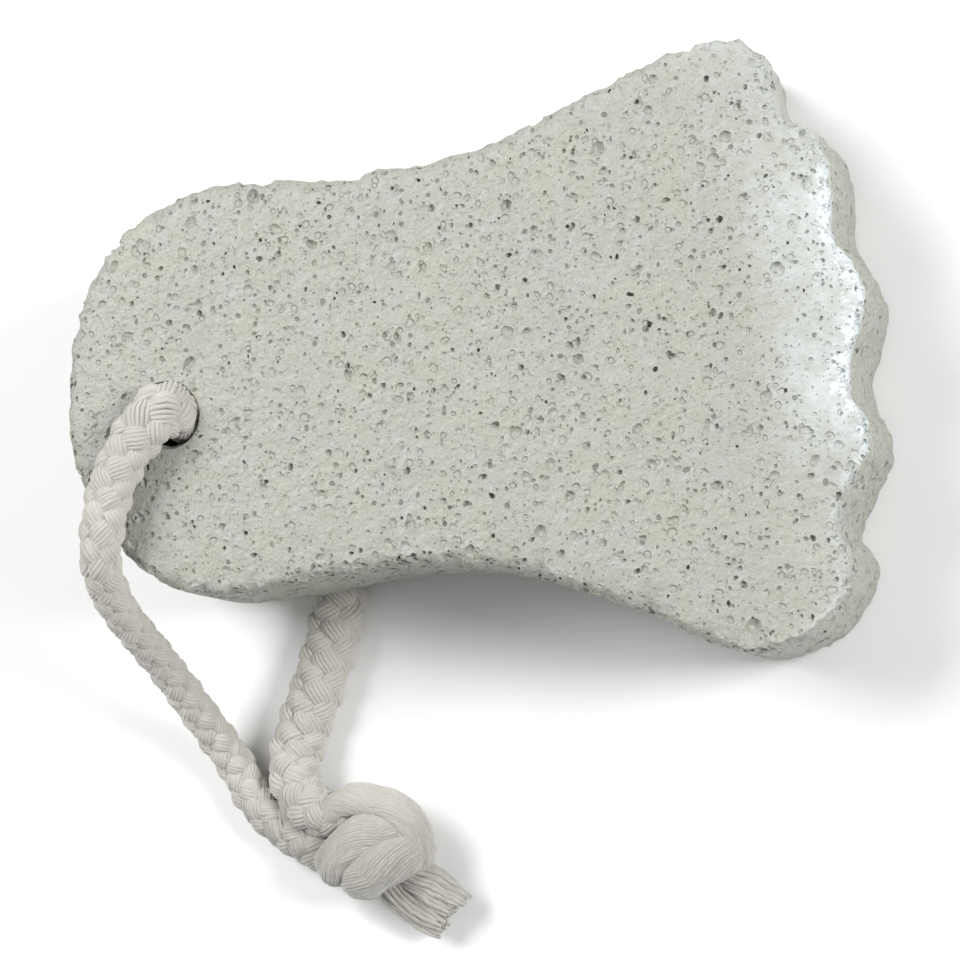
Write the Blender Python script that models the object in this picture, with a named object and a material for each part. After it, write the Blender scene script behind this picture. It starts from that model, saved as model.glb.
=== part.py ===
"""Foot-shaped pumice stone with a looped hanging rope.

The stone is one block of foamed rock cut to the outline of a foot, drilled
through at the heel.  A braided cotton rope goes through the hole, passes under
the stone and over its heel, and both legs are tied in one knot with two cut
tails.  The stone lies on its underside, tilted because the rope runs below it.

Units are metres, +Z is up and the toes point along +X.
"""
import math
import random

import bmesh
import bpy
from mathutils import Matrix, Vector, geometry, noise

MM = 0.001

# Stone, in its own flat frame: U heel to toe, V towards the inner side, W up.
THICKNESS = 22.0 * MM
TILT = math.radians(4.6)
HOLE_CENTRE = (-36.2 * MM, -7.8 * MM)
HOLE_RADIUS = 4.0 * MM
HOLE_WEAR = 0.7 * MM
HOLE_SIDES = 20
HOLE_OVERSHOOT = 1.5 * MM

# Outline of the foot, clockwise from the back of the heel, in millimetres.
HEEL_INNER = [(-49.7, -6.0), (-49.1, 3.0), (-46.6, 10.0), (-42.0, 15.6), (-37.1, 18.5), (-31.3, 20.2)]
INNER_SIDE = [(-23.2, 20.7), (-15.0, 20.8), (-10.2, 21.6), (-5.0, 22.4), (2.6, 24.2), (11.6, 28.2),
              (15.9, 30.4), (21.3, 33.0)]
BIG_TOE = [(25.4, 34.5), (29.5, 35.3), (32.6, 34.5), (34.8, 32.0), (36.1, 28.6), (37.7, 25.7)]
SECOND_TOE = [(41.2, 23.6), (42.8, 20.2), (43.5, 16.0), (43.4, 12.3)]
THIRD_TOE = [(45.6, 8.7), (47.0, 4.7), (46.5, 0.4), (45.1, -3.8)]
FOURTH_TOE = [(45.7, -7.2), (47.2, -10.3), (47.3, -13.8), (45.7, -17.6), (43.9, -22.1)]
LITTLE_TOE = [(45.1, -24.4), (45.8, -27.0), (44.6, -30.4), (41.8, -33.8), (37.8, -35.9), (33.3, -36.6),
              (26.9, -35.0)]
OUTER_SIDE = [(21.0, -32.3), (14.6, -30.0), (8.4, -27.9), (0.5, -26.4), (-9.3, -26.4), (-16.8, -27.6),
              (-24.2, -28.7)]
HEEL_OUTER = [(-32.4, -29.0), (-38.6, -27.0), (-42.9, -23.4), (-46.4, -18.8), (-48.9, -13.0)]
OUTLINE_MM = (HEEL_INNER + INNER_SIDE + BIG_TOE + SECOND_TOE + THIRD_TOE + FOURTH_TOE + LITTLE_TOE
              + OUTER_SIDE + HEEL_OUTER)
OUTLINE_STEPS = 2
HALF_LENGTH = 50.0 * MM

# Section of the stone's edge from the underside to the top: (inset, height).
EDGE_SECTION = [(1.3 * MM, 0.0), (0.35 * MM, 0.7 * MM), (0.0, 2.6 * MM), (0.1 * MM, 9.0 * MM),
                (0.3 * MM, 15.5 * MM), (0.55 * MM, 19.6 * MM), (1.1 * MM, 21.1 * MM), (2.2 * MM, 21.7 * MM)]
EDGE_ROUGHNESS = 0.45 * MM
ROUGHNESS_SCALE = 210.0
TOP_GRID = 8.0 * MM
TOP_FALL = 0.3 * MM
TOP_FALL_WIDTH = 9.0 * MM
INSIDE_THE_EDGES = 1
MERGE_DISTANCE = 1e-7

# Gas bubbles opened by the cut, as tapered five-sided pits in the block's surface.
PIT_COUNT = 240
SMALLEST_PIT = 0.5 * MM
LARGEST_PIT = 1.3 * MM
PIT_SIDES = 5
PIT_DEPTH = 0.75
PIT_FLOOR = 0.6
PIT_OVERSHOOT = 0.6
PIT_MOUTH = 1.12
PIT_SPACING = 1.35
PIT_SEED = 11
PIT_WEIGHTS = {1: 1.7, 0: 1.0, -1: 0.6}
FLAT_NORMAL = 0.9
HOLE_CLEARANCE = 6.5 * MM

# Flat place kept free of pits where the stone is laid down, on the underside.
REST_POINT = (4.0 * MM, 0.0)
REST_CLEAR_RADIUS = 8.0 * MM

# Rope: braided cotton, with the route of its middle line in the world, in millimetres.
ROPE_DIAMETER = 5.0 * MM
ROPE_POINTS = 64
ROUTE_STEPS = 12
BEVEL_RESOLUTION = 3
ROPE_ROUTE_MM = [
    (-22.3, -60.4, 3.6), (-27.0, -57.6, 2.7), (-32.0, -53.7, 2.6), (-36.6, -48.9, 3.0),
    (-40.6, -43.0, 6.8), (-43.0, -36.2, 14.4), (-43.0, -30.4, 23.4), (-41.6, -25.6, 30.2),
    (-40.6, -21.4, 32.1), (-39.6, -16.2, 32.0), (-37.9, -11.2, 31.8), (-35.9, -7.9, 30.8),
    (-34.7, -7.2, 26.0), (-35.0, -7.0, 17.0), (-35.5, -6.8, 9.0), (-34.6, -7.8, 5.1),
    (-32.4, -9.8, 3.3), (-28.8, -14.0, 2.6), (-24.3, -20.2, 2.6), (-21.8, -27.2, 2.6),
    (-22.0, -33.4, 2.6), (-24.0, -40.2, 2.6), (-25.6, -46.2, 2.6), (-25.0, -51.2, 2.9),
    (-22.1, -55.0, 4.2),
]

# Knot: an overhand knot tied in both legs together, with two cut tails.
KNOT_CENTRE = (-14.0 * MM, -57.9 * MM, 5.5 * MM)
KNOT_HALF_SIZE = (6.1 * MM, 5.4 * MM, 5.2 * MM)
WRAP_RADIUS = 2.4 * MM
WRAP_POINTS = 8
UPPER_WRAP_MM = [(-19.4, -55.8, 5.4), (-16.6, -53.2, 7.0), (-12.6, -53.2, 7.6), (-9.3, -55.9, 7.0),
                 (-8.1, -59.6, 5.0)]
LEFT_WRAP_MM = [(-18.0, -54.2, 7.8), (-19.2, -57.6, 7.8), (-18.8, -61.2, 6.0), (-16.8, -63.0, 3.4)]
FRONT_WRAP_MM = [(-10.2, -56.2, 7.6), (-12.2, -58.8, 9.0), (-14.8, -61.0, 8.0), (-15.8, -62.8, 4.4)]
TAIL_RADIUS = 2.3 * MM
TAIL_POINTS = 5
WELD_DISTANCE = 1e-6
NEAR_TAIL_MM = [(-13.8, -61.0, 4.4), (-11.6, -64.4, 3.0), (-8.7, -67.4, 2.4)]
FAR_TAIL_MM = [(-11.2, -59.2, 4.6), (-8.8, -62.0, 3.4), (-6.0, -65.0, 2.5)]


def clear_scene():
    """Start from an empty scene."""
    for obj in list(bpy.data.objects):
        bpy.data.objects.remove(obj, do_unlink=True)


def material(name, colour, roughness):
    """Plain Principled material of one colour."""
    mat = bpy.data.materials.new(name)
    mat.use_nodes = True
    shader = mat.node_tree.nodes["Principled BSDF"]
    shader.inputs["Base Color"].default_value = (*colour, 1.0)
    shader.inputs["Roughness"].default_value = roughness
    shader.inputs["Metallic"].default_value = 0.0
    return mat


def smooth_curve(points, steps, closed):
    """Catmull-Rom curve through the points, with a number of steps on each span."""
    count = len(points)
    spans = count if closed else count - 1
    curve = []
    for i in range(spans):
        if closed:
            p0, p1, p2, p3 = (points[(i + k) % count] for k in (-1, 0, 1, 2))
        else:
            p0, p1, p2, p3 = (points[min(max(i + k, 0), count - 1)] for k in (-1, 0, 1, 2))
        for step in range(steps):
            t = step / steps
            curve.append(0.5 * (2.0 * p1 + (p2 - p0) * t + (2.0 * p0 - 5.0 * p1 + 4.0 * p2 - p3) * t ** 2
                                + (3.0 * p1 - p0 - 3.0 * p2 + p3) * t ** 3))
    if not closed:
        curve.append(points[-1].copy())
    return curve


def evenly_spaced(curve, count):
    """Points at equal distances along a polyline."""
    lengths = [0.0]
    for a, b in zip(curve, curve[1:]):
        lengths.append(lengths[-1] + (b - a).length)
    points = []
    span = 0
    for i in range(count):
        target = lengths[-1] * i / (count - 1)
        while span < len(curve) - 2 and lengths[span + 1] < target:
            span += 1
        share = (target - lengths[span]) / (lengths[span + 1] - lengths[span])
        points.append(curve[span].lerp(curve[span + 1], min(share, 1.0)))
    return points


def outline():
    """Outline of the foot as plan points in metres, clockwise."""
    points = [Vector((u, v)) * MM for u, v in OUTLINE_MM]
    return smooth_curve(points, OUTLINE_STEPS, closed=True)


def outward_normals(plan):
    """Outward unit normal at each point of a clockwise outline."""
    count = len(plan)
    normals = []
    for i in range(count):
        along = plan[(i + 1) % count] - plan[i - 1]
        normals.append(Vector((-along.y, along.x)).normalized())
    return normals


def depth_inside(point, plan):
    """Distance from a plan point to the outline."""
    distances = []
    for a, b in zip(plan, plan[1:] + plan[:1]):
        share = geometry.intersect_point_line(point, a, b)[1]
        distances.append((point - a.lerp(b, min(max(share, 0.0), 1.0))).length)
    return min(distances)


def is_inside(point, plan):
    """True where a plan point lies within the outline."""
    inside = False
    for a, b in zip(plan, plan[1:] + plan[:1]):
        if (a.y > point.y) != (b.y > point.y):
            crossing = a.x + (point.y - a.y) * (b.x - a.x) / (b.y - a.y)
            inside ^= point.x < crossing
    return inside


def top_height(point, plan):
    """Height of the top face, which falls off a little towards its edge."""
    share = max(0.0, 1.0 - depth_inside(point, plan) / TOP_FALL_WIDTH)
    return THICKNESS - TOP_FALL * share ** 2


def add_top_face(bm, rim, plan):
    """Close the top with a net of triangles over the rim and a grid of inner points."""
    coords = [v.co.to_2d() for v in rim]
    row_pitch = TOP_GRID * math.sqrt(0.75)
    half_count = int(HALF_LENGTH / row_pitch) + 1
    for row in range(-half_count, half_count):
        for column in range(-half_count, half_count):
            point = Vector(((column + 0.5 * (row % 2)) * TOP_GRID, row * row_pitch))
            if is_inside(point, plan) and depth_inside(point, plan) > row_pitch:
                coords.append(point)
    edges = [(i, (i + 1) % len(rim)) for i in range(len(rim))]
    net = geometry.delaunay_2d_cdt(coords, edges, [], INSIDE_THE_EDGES, MERGE_DISTANCE)
    verts = list(rim)
    for point in coords[len(rim):]:
        verts.append(bm.verts.new((point.x, point.y, top_height(point, plan))))
    for face in net[2]:
        bm.faces.new([verts[net[3][i][0]] for i in face])


def stone_blank(plan):
    """The cut block before its bubbles: stacked rings with a rough rounded edge."""
    bm = bmesh.new()
    normals = outward_normals(plan)
    rings = []
    for inset, height in EDGE_SECTION:
        ring = []
        for point, normal in zip(plan, normals):
            place = point - normal * inset
            if height > 0.0:
                worn = abs(noise.noise(Vector((place.x, place.y, height)) * ROUGHNESS_SCALE))
                place = place - normal * EDGE_ROUGHNESS * worn
            ring.append(bm.verts.new((place.x, place.y, height)))
        rings.append(ring)
    for lower, upper in zip(rings, rings[1:]):
        for i in range(len(plan)):
            j = (i + 1) % len(plan)
            bm.faces.new((lower[i], upper[i], upper[j], lower[j]))
    bm.faces.new(rings[0])
    add_top_face(bm, rings[-1], plan)
    bmesh.ops.recalc_face_normals(bm, faces=bm.faces)
    return bm


def add_pit(bm, centre, normal, radius, spin):
    """One tapered bowl that cuts into a surface from outside."""
    turn = normal.to_track_quat("Z", "Y").to_matrix() @ Matrix.Rotation(spin, 3, "Z")
    levels = ((PIT_OVERSHOOT * radius, PIT_MOUTH * radius), (-PIT_DEPTH * radius, PIT_FLOOR * radius))
    rings = []
    for height, ring_radius in levels:
        ring = []
        for i in range(PIT_SIDES):
            angle = math.tau * i / PIT_SIDES
            offset = Vector((ring_radius * math.cos(angle), ring_radius * math.sin(angle), height))
            ring.append(bm.verts.new(centre + turn @ offset))
        rings.append(ring)
    top, bottom = rings
    bm.faces.new(top)
    bm.faces.new(list(reversed(bottom)))
    for i in range(PIT_SIDES):
        j = (i + 1) % PIT_SIDES
        bm.faces.new((bottom[i], bottom[j], top[j], top[i]))


def random_site(rng, triangles, weights):
    """Random point of the block's surface with the surface normal there."""
    a, b, c, normal = rng.choices(triangles, weights)[0]
    s, t = sorted((rng.random(), rng.random()))
    return a * s + b * (t - s) + c * (1.0 - t), normal


def surface_triangles(blank):
    """Triangles of the block, and how likely each is to hold a pit."""
    copy = blank.copy()
    bmesh.ops.triangulate(copy, faces=copy.faces)
    triangles = []
    weights = []
    for face in copy.faces:
        a, b, c = (v.co.copy() for v in face.verts)
        side = 1 if face.normal.z > FLAT_NORMAL else -1 if face.normal.z < -FLAT_NORMAL else 0
        triangles.append((a, b, c, face.normal.copy()))
        weights.append(face.calc_area() * PIT_WEIGHTS[side])
    copy.free()
    return triangles, weights


def is_free(place, normal, radius, taken):
    """True where a pit keeps clear of the hole, of the resting place and of other pits."""
    plan_place = place.to_2d()
    if abs(normal.z) > FLAT_NORMAL and (plan_place - Vector(HOLE_CENTRE)).length < HOLE_CLEARANCE + radius:
        return False
    if normal.z < -FLAT_NORMAL and (plan_place - Vector(REST_POINT)).length < REST_CLEAR_RADIUS + radius:
        return False
    return all((place - other).length > PIT_SPACING * (radius + size) for other, size in taken)


def pit_cutters(blank):
    """All the opened bubbles, scattered over the block, as one mesh of tapered bowls."""
    rng = random.Random(PIT_SEED)
    triangles, weights = surface_triangles(blank)
    pits = bmesh.new()
    taken = []
    while len(taken) < PIT_COUNT:
        place, normal = random_site(rng, triangles, weights)
        radius = SMALLEST_PIT + (LARGEST_PIT - SMALLEST_PIT) * rng.random() ** 2
        if is_free(place, normal, radius, taken):
            add_pit(pits, place, normal, radius, rng.random())
            taken.append((place, radius))
    return pits


def hole_cutter(bm):
    """Drill for the rope's hole, flared where the rope has worn both mouths."""
    flare = HOLE_RADIUS + HOLE_WEAR + HOLE_OVERSHOOT
    levels = ((-HOLE_OVERSHOOT, flare), (HOLE_WEAR, HOLE_RADIUS),
              (THICKNESS - HOLE_WEAR, HOLE_RADIUS), (THICKNESS + HOLE_OVERSHOOT, flare))
    rings = []
    for height, radius in levels:
        ring = []
        for i in range(HOLE_SIDES):
            angle = math.tau * i / HOLE_SIDES
            ring.append(bm.verts.new((HOLE_CENTRE[0] + radius * math.cos(angle),
                                      HOLE_CENTRE[1] + radius * math.sin(angle), height)))
        rings.append(ring)
    for lower, upper in zip(rings, rings[1:]):
        for i in range(HOLE_SIDES):
            j = (i + 1) % HOLE_SIDES
            bm.faces.new((lower[i], lower[j], upper[j], upper[i]))
    bm.faces.new(list(reversed(rings[0])))
    bm.faces.new(rings[-1])


def object_from_bmesh(name, bm):
    """New object in the scene from a bmesh, which is freed."""
    mesh = bpy.data.meshes.new(name)
    bm.to_mesh(mesh)
    bm.free()
    obj = bpy.data.objects.new(name, mesh)
    bpy.context.collection.objects.link(obj)
    return obj


def as_guide(obj):
    """Mark a cutter as a guide that is not part of the object."""
    obj.hide_render = True
    obj.display_type = "WIRE"


def boolean(target, other, operation):
    """Exact Boolean of a target with another object, which becomes a guide that moves with it."""
    modifier = target.modifiers.new(other.name, "BOOLEAN")
    modifier.operation = operation
    modifier.solver = "EXACT"
    modifier.object = other
    other.parent = target
    as_guide(other)


def make_stone():
    """The pumice stone: cut block less its hole and its opened bubbles."""
    blank = stone_blank(outline())
    pits = pit_cutters(blank)
    stone = object_from_bmesh("pumice_stone", blank)
    drill = bmesh.new()
    hole_cutter(drill)
    boolean(stone, object_from_bmesh("hole_cutter", drill), "DIFFERENCE")
    boolean(stone, object_from_bmesh("pit_cutter", pits), "DIFFERENCE")
    stone.data.materials.append(material("pumice", (0.56, 0.57, 0.50), 0.9))
    return stone


def lay_on_floor(stone):
    """Tilt the stone toes down and stand it on the floor, centred on the origin."""
    stone.rotation_euler = (0.0, TILT, 0.0)
    turn = Matrix.Rotation(TILT, 3, "Y")
    corners = [turn @ v.co for v in stone.data.vertices]
    low = [min(c[axis] for c in corners) for axis in range(3)]
    high = [max(c[axis] for c in corners) for axis in range(3)]
    stone.location = (-(low[0] + high[0]) / 2.0, -(low[1] + high[1]) / 2.0, -low[2])


def tube(name, route_mm, radius, count, mat):
    """Round cord: a curve object with filled caps through the route's points."""
    route = [Vector(point) * MM for point in route_mm]
    points = evenly_spaced(smooth_curve(route, ROUTE_STEPS, closed=False), count)
    curve = bpy.data.curves.new(name, "CURVE")
    curve.dimensions = "3D"
    curve.bevel_depth = radius
    curve.bevel_resolution = BEVEL_RESOLUTION
    curve.use_fill_caps = True
    spline = curve.splines.new("POLY")
    spline.points.add(count - 1)
    for spline_point, place in zip(spline.points, points):
        spline_point.co = (*place, 1.0)
    if mat:
        curve.materials.append(mat)
    obj = bpy.data.objects.new(name, curve)
    bpy.context.collection.objects.link(obj)
    return obj


def fuse_tube(target, name, route_mm, radius, count):
    """Fuse a round cord into a target with a Boolean union."""
    cord = tube(name, route_mm, radius, count, None)
    mesh = bpy.data.meshes.new_from_object(cord.evaluated_get(bpy.context.evaluated_depsgraph_get()))
    bpy.data.objects.remove(cord, do_unlink=True)
    bm = bmesh.new()
    bm.from_mesh(mesh)
    bmesh.ops.remove_doubles(bm, verts=bm.verts, dist=WELD_DISTANCE)
    bmesh.ops.recalc_face_normals(bm, faces=bm.faces)
    boolean(target, object_from_bmesh(name, bm), "UNION")


def make_knot(mat):
    """The knot: a tight lump of wraps fused with its two tails."""
    bm = bmesh.new()
    bmesh.ops.create_icosphere(bm, subdivisions=2, radius=1.0)
    for v in bm.verts:
        v.co = Vector(KNOT_CENTRE) + Vector([c * half for c, half in zip(v.co, KNOT_HALF_SIZE)])
    knot = object_from_bmesh("knot", bm)
    knot.data.materials.append(mat)
    fuse_tube(knot, "upper_wrap", UPPER_WRAP_MM, WRAP_RADIUS, WRAP_POINTS)
    fuse_tube(knot, "left_wrap", LEFT_WRAP_MM, WRAP_RADIUS, WRAP_POINTS)
    fuse_tube(knot, "front_wrap", FRONT_WRAP_MM, WRAP_RADIUS, WRAP_POINTS)
    fuse_tube(knot, "near_tail", NEAR_TAIL_MM, TAIL_RADIUS, TAIL_POINTS)
    fuse_tube(knot, "far_tail", FAR_TAIL_MM, TAIL_RADIUS, TAIL_POINTS)
    return knot


def make_rope(mat):
    """Both legs of the loop in one cord, from the knot through the hole and back."""
    return tube("rope", ROPE_ROUTE_MM, ROPE_DIAMETER / 2.0, ROPE_POINTS, mat)


clear_scene()
lay_on_floor(make_stone())
cotton = material("cotton", (0.66, 0.64, 0.60), 0.95)
make_rope(cotton)
make_knot(cotton)
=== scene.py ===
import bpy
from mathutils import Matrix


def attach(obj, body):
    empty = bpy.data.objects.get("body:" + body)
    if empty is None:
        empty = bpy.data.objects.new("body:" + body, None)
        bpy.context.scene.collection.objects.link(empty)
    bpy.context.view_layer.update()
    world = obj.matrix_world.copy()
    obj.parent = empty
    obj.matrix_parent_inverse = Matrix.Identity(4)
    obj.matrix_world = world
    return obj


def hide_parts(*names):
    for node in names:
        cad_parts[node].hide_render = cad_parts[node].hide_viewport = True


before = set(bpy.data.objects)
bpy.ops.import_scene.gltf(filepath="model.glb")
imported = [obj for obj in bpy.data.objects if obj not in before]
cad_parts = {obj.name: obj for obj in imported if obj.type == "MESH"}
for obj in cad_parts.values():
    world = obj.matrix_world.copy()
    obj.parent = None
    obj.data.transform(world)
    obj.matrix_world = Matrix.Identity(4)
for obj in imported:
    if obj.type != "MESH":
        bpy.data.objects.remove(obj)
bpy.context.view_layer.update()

import math
import random

import bmesh
import bpy
import numpy as np
from mathutils import Matrix, Vector, geometry, noise


# ---------------------------------------------------------------- camera
# The camera stands high over the toe side of the stone and looks down on
# it, with the toes to the right and the knot at the bottom of the frame.

MM = 0.001
CAMERA_PLACE_MM = (133.37, -44.32, 420.49)
CAMERA_AIM_MM = (0.36, -14.63, 14.0)
CAMERA_LENS_MM = 134.83
CAMERA_SENSOR_MM = 36.0
CAMERA_CLIP_START = 10.0 * MM


def point_camera(camera, place, aim):
    """Aims the camera, with the stone's breadth upright in the frame."""
    back = (place - aim).normalized()
    right = Vector((0.0, 1.0, 0.0)).cross(back).normalized()
    turn = Matrix((right, back.cross(right), back)).transposed()
    camera.matrix_world = Matrix.Translation(place) @ turn.to_4x4()


camera_data = bpy.data.cameras.new("camera")
camera_data.lens = CAMERA_LENS_MM
camera_data.sensor_width = CAMERA_SENSOR_MM
camera_data.clip_start = CAMERA_CLIP_START
camera = bpy.data.objects.new("camera", camera_data)
bpy.context.scene.collection.objects.link(camera)
bpy.context.scene.camera = camera
point_camera(camera, Vector(CAMERA_PLACE_MM) * MM, Vector(CAMERA_AIM_MM) * MM)


# ---------------------------------------------------------------- rope
# A soft eight-strand cotton braid, about 5.5 mm wide and slightly flat.
# One loop of it goes through the hole, over the heel, into the knot and
# back under the stone. Each strand is seven loosely twisted yarns.

UP_THE_HOLE_MM = [
    (-34.8, -7.2, 17.0),
    (-33.2, -6.6, 26.0),
    (-34.2, -7.1, 30.6),
]
OVER_THE_HEEL_MM = [
    (-37.4, -11.4, 31.8),
    (-39.6, -16.2, 32.0),
    (-40.6, -21.4, 32.1),
    (-41.4, -25.6, 30.2),
    (-41.8, -30.4, 23.4),
    (-40.4, -36.2, 14.4),
    (-38.0, -43.0, 6.8),
    (-35.2, -48.7, 3.0),
    (-32.2, -53.6, 2.6),
    (-27.4, -57.4, 2.7),
    (-22.0, -59.9, 3.6),
]
INSIDE_THE_KNOT_MM = [
    (-18.4, -60.6, 4.6),
    (-16.2, -58.6, 5.2),
    (-17.4, -55.8, 5.2),
]
BACK_UNDER_MM = [
    (-23.4, -54.6, 4.9),
    (-26.9, -51.0, 3.9),
    (-27.0, -46.2, 2.8),
    (-24.9, -40.2, 2.6),
    (-22.7, -33.4, 2.6),
    (-21.6, -27.2, 2.6),
    (-24.3, -20.2, 2.6),
    (-28.8, -14.0, 2.6),
    (-32.4, -9.8, 3.3),
    (-34.6, -7.8, 5.1),
    (-35.5, -6.8, 9.0),
    (-35.0, -7.0, 16.8),
]
ROUTE_MM = UP_THE_HOLE_MM + OVER_THE_HEEL_MM + INSIDE_THE_KNOT_MM + BACK_UNDER_MM
ROUTE_STEPS = 10

# How thick the rope is, and how far turned, at numbered points of its route.
ROPE_GIRTH = [
    (0, 1.2), (1, 1.38), (2, 1.3), (3, 1.12), (5, 1.0), (6, 0.92), (7, 0.86), (8, 0.86), (9, 0.92),
    (10, 0.98), (12, 1.02), (13, 1.0), (14, 0.8), (16, 0.7), (17, 1.15), (19, 1.4), (22, 1.4),
    (25, 1.12), (27, 0.95), (28, 1.0),
]
ROPE_TURN = [(0, 0.0), (6, 0.0), (10, 25.0), (13, 15.0), (17, 10.0), (28, 0.0)]
ROPE_FACING_IN_THE_HOLE = (0.9, 0.4, 0.0)
BRAID = {
    "Lay Length": 16.0 * MM,
    "Half Width": 1.75 * MM,
    "Half Depth": 1.40 * MM,
    "Weave Height": 0.42 * MM,
    "Strand Crown": 0.36 * MM,
    "Strand Pinch": 0.14,
    "Yarns": 7,
    "Yarn Spacing": 0.335 * MM,
    "Yarn Radius": 0.33 * MM,
    "Unevenness": 0.28 * MM,
    "Core Width": 1.9 * MM,
    "Core Depth": 1.5 * MM,
    "Step": 0.7 * MM,
}
STRANDS = 8
YARN_SIDES = 5
CORE_SIDES = 12
FRONT_OF_THE_WEAVE = math.radians(45.0)
FLOOR_GAP = 0.05 * MM
UNEVEN_BY_STRAND = 3.1
UNEVEN_BY_YARN = 0.37
UNEVEN_PER_METRE = 260.0


class Wire:
    """A node's output, on which sums add Math nodes to its tree."""

    def __init__(self, recipe, socket):
        self.recipe = recipe
        self.socket = socket

    def out(self, name):
        """Another output of the same node."""
        return Wire(self.recipe, self.socket.node.outputs[name])

    def out_at(self, number):
        """An output of the same node by its number, where several share a name."""
        return Wire(self.recipe, self.socket.node.outputs[number])

    def __add__(self, other):
        return self.recipe.sum("ADD", self, other)

    def __radd__(self, other):
        return self.recipe.sum("ADD", other, self)

    def __sub__(self, other):
        return self.recipe.sum("SUBTRACT", self, other)

    def __rsub__(self, other):
        return self.recipe.sum("SUBTRACT", other, self)

    def __mul__(self, other):
        return self.recipe.sum("MULTIPLY", self, other)

    def __rmul__(self, other):
        return self.recipe.sum("MULTIPLY", other, self)

    def __truediv__(self, other):
        return self.recipe.sum("DIVIDE", self, other)

    def __rtruediv__(self, other):
        return self.recipe.sum("DIVIDE", other, self)


class Recipe:
    """A node tree of a material or of a mesh, written call by call."""

    def __init__(self, tree):
        self.tree = tree

    def node(self, kind, settings=None, inputs=None):
        """Adds a node: its settings first, then its sockets by name or number.

        A socket takes a value, a wire, or a list of wires that it joins.
        """
        made = self.tree.nodes.new(kind)
        for name, value in (settings or {}).items():
            setattr(made, name, value)
        for name, value in (inputs or {}).items():
            if isinstance(value, Wire):
                value = [value]
            if isinstance(value, list):
                for wire in value:
                    self.tree.links.new(wire.socket, made.inputs[name])
            else:
                made.inputs[name].default_value = value
        first = next((each for each in made.outputs if each.enabled), None)
        return Wire(self, first) if first else made

    def sum(self, operation, *values):
        """A Math node on wires and numbers."""
        return self.node("ShaderNodeMath", {"operation": operation}, dict(enumerate(values)))

    def vector(self, operation, *values):
        """A Vector Math node on vectors or colours."""
        return self.node("ShaderNodeVectorMath", {"operation": operation}, dict(enumerate(values)))

    def scaled(self, vector, factor):
        """A vector or colour times a number."""
        scale = {0: vector, "Scale": factor}
        return self.node("ShaderNodeVectorMath", {"operation": "SCALE"}, scale)

    def blend(self, share, first, second):
        """Mixes two colours: none of the second at 0, all of it at 1."""
        colours = {"Factor": share, 6: first, 7: second}
        return self.node("ShaderNodeMix", {"data_type": "RGBA"}, colours).out_at(2)

    def mapped(self, value, low, high, to_low=0.0, to_high=1.0):
        """Runs evenly from one end to the other between two limits, and stays there past them."""
        limits = {0: value, 1: low, 2: high, 3: to_low, 4: to_high}
        return self.node("ShaderNodeMapRange", {"clamp": True}, limits)


class MeshRecipe(Recipe):
    """A Geometry Nodes tree with named inputs, grown on an object and taken off again."""

    SOCKETS = {float: "NodeSocketFloat", int: "NodeSocketInt"}

    def __init__(self, name, sizes):
        tree = bpy.data.node_groups.new(name, "GeometryNodeTree")
        super().__init__(tree)
        interface = tree.interface
        interface.new_socket("Geometry", in_out="INPUT", socket_type="NodeSocketGeometry")
        interface.new_socket("Geometry", in_out="OUTPUT", socket_type="NodeSocketGeometry")
        self.sizes = {}
        for size, value in sizes.items():
            kind = self.SOCKETS[type(value)]
            self.sizes[size] = interface.new_socket(size, in_out="INPUT", socket_type=kind)
        self.finish_socket = interface.new_socket(
            "Finish", in_out="INPUT", socket_type="NodeSocketMaterial"
        )
        self.start = tree.nodes.new("NodeGroupInput")

    def input(self, name):
        """One of the tree's named inputs."""
        return Wire(self, self.start.outputs[name])

    def keep(self, geometry, name, value, domain="POINT", data_type="FLOAT"):
        """Stores a value on the mesh or curve under a name."""
        settings = {"data_type": data_type, "domain": domain}
        inputs = {"Geometry": geometry, "Name": name, "Value": value}
        return self.node("GeometryNodeStoreNamedAttribute", settings, inputs)

    def kept(self, name, data_type="FLOAT"):
        """Reads a stored value back."""
        return self.node("GeometryNodeInputNamedAttribute", {"data_type": data_type}, {"Name": name})

    def end(self, geometry):
        """Realizes what was grown and gives it its finish."""
        real = self.node("GeometryNodeRealizeInstances", None, {"Geometry": geometry})
        inputs = {"Geometry": real, "Material": self.input("Finish")}
        painted = self.node("GeometryNodeSetMaterial", None, inputs)
        last = self.tree.nodes.new("NodeGroupOutput")
        self.tree.links.new(painted.socket, last.inputs["Geometry"])

    def grow(self, name, base_mesh, sizes, finish):
        """Grows the recipe on a mesh and returns the result as a plain mesh object."""
        base = bpy.data.objects.new(name + "_base", base_mesh)
        bpy.context.scene.collection.objects.link(base)
        modifier = base.modifiers.new("grow", "NODES")
        modifier.node_group = self.tree
        for size, value in sizes.items():
            modifier[self.sizes[size].identifier] = value
        modifier[self.finish_socket.identifier] = finish
        graph = bpy.context.evaluated_depsgraph_get()
        mesh = bpy.data.meshes.new_from_object(base.evaluated_get(graph), depsgraph=graph)
        base.modifiers.remove(modifier)
        bpy.data.objects.remove(base)
        mesh.name = name
        piece = bpy.data.objects.new(name, mesh)
        bpy.context.scene.collection.objects.link(piece)
        return piece


def smooth_line(points, steps):
    """A Catmull-Rom curve through the points, in even steps between each two."""
    ends = np.vstack([2 * points[0] - points[1], points, 2 * points[-1] - points[-2]])
    line = []
    for a, b, c, d in zip(ends, ends[1:], ends[2:], ends[3:]):
        for t in np.arange(steps) / steps:
            line.append(
                0.5 * (2 * b + (c - a) * t + (2 * a - 5 * b + 4 * c - d) * t * t
                + (3 * b - a - 3 * c + d) * t ** 3)
            )
    return np.array(line + [points[-1]])


def length_along(line):
    """The length from the line's start to each of its points."""
    steps = np.linalg.norm(np.diff(line, axis=0), axis=1)
    return np.concatenate([[0.0], np.cumsum(steps)])


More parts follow.
